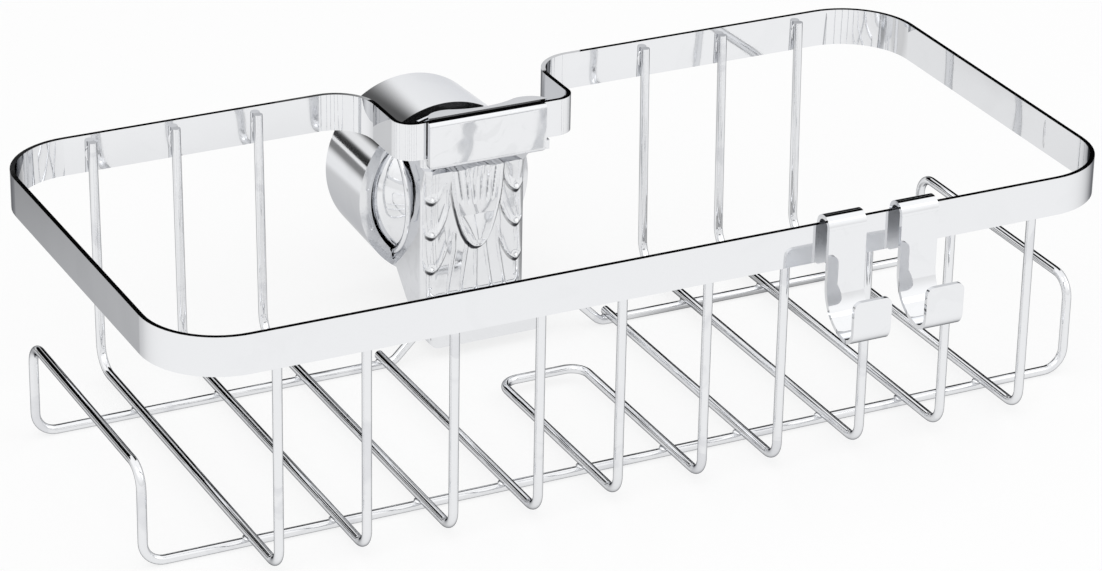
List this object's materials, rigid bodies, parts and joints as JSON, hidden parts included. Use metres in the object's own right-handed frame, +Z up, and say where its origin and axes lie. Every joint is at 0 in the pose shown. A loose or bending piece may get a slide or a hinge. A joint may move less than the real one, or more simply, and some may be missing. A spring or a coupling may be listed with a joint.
{
  "type": "shower rod caddy",
  "caption": "Chrome wire shower basket with strip rim, base rail and sliding hooks, hung on a clamp with a round knob for an upright rail.",
  "frame": {"origin": "on the rail's axis, level with the knob's axis", "axes": "+X along the basket's front to the right, +Y back from the basket to the knob, +Z up along the rail"},
  "size_m": [0.3244, 0.2069, 0.0874],
  "materials": {
    "basket_chrome": "bright chrome on steel wire and strip",
    "hook_chrome": "bright chrome on bent steel strip",
    "cast_chrome": "bright chrome on a casting",
    "drawn_chrome": "bright chrome on a drawn barrel",
    "inner_steel": "turned, plain",
    "screw_steel": "plain stainless",
    "brass": "turned, plain",
    "rubber": "matt black",
    "nylon": "natural, matt",
    "liner_plastic": "matt dark grey"
  },
  "bodies": {
    "clamp": {"bracket_body": "cast_chrome", "clip_liner": "liner_plastic", "front_pad": "rubber", "ball_housing": "cast_chrome", "housing_screws": "screw_steel", "bearing_plate": "inner_steel", "plate_screws": "screw_steel"},
    "basket": {"rim_band": "basket_chrome", "u_wire_1": "basket_chrome", "u_wire_2": "basket_chrome", "u_wire_3": "basket_chrome", "j_wire_4": "basket_chrome", "hairpin_wire": "basket_chrome", "j_wire_7": "basket_chrome", "u_wire_8": "basket_chrome", "u_wire_9": "basket_chrome", "u_wire_10": "basket_chrome", "base_rail": "basket_chrome"},
    "left_hook": {"hook_left": "hook_chrome"},
    "right_hook": {"hook_right": "hook_chrome"},
    "knob": {"clamp_knob": "drawn_chrome", "clamp_screw": "inner_steel", "thrust_washer": "nylon", "knob_bolt": "screw_steel", "knob_cap": "drawn_chrome"},
    "moving_jaw": {"jaw": "nylon", "jaw_pad": "rubber", "nut_insert": "brass"}
  },
  "joints": [
    {"name": "basket_lift", "type": "slide", "parent": "clamp", "child": "basket", "axis": [0, 0, 1], "range_m": [0, 0.018]},
    {"name": "left_hook_slide", "type": "slide", "parent": "basket", "child": "left_hook", "axis": [1, 0, 0], "range_m": [-0.008, 0.004]},
    {"name": "right_hook_slide", "type": "slide", "parent": "basket", "child": "right_hook", "axis": [1, 0, 0], "range_m": [-0.004, 0.008]},
    {"name": "knob_turn", "type": "hinge", "parent": "clamp", "child": "knob", "pos_m": [0, 0.0278, 0], "axis": [0, -1, 0], "range_deg": [-360, 360]},
    {"name": "jaw_slide", "type": "slide", "parent": "clamp", "child": "moving_jaw", "axis": [0, -1, 0], "range_m": [-0.00201, 0.00201]}
  ],
  "couplings": [
    {"joint": "jaw_slide", "follows": "knob_turn", "m_per_rad": 0.00031831}
  ]
}
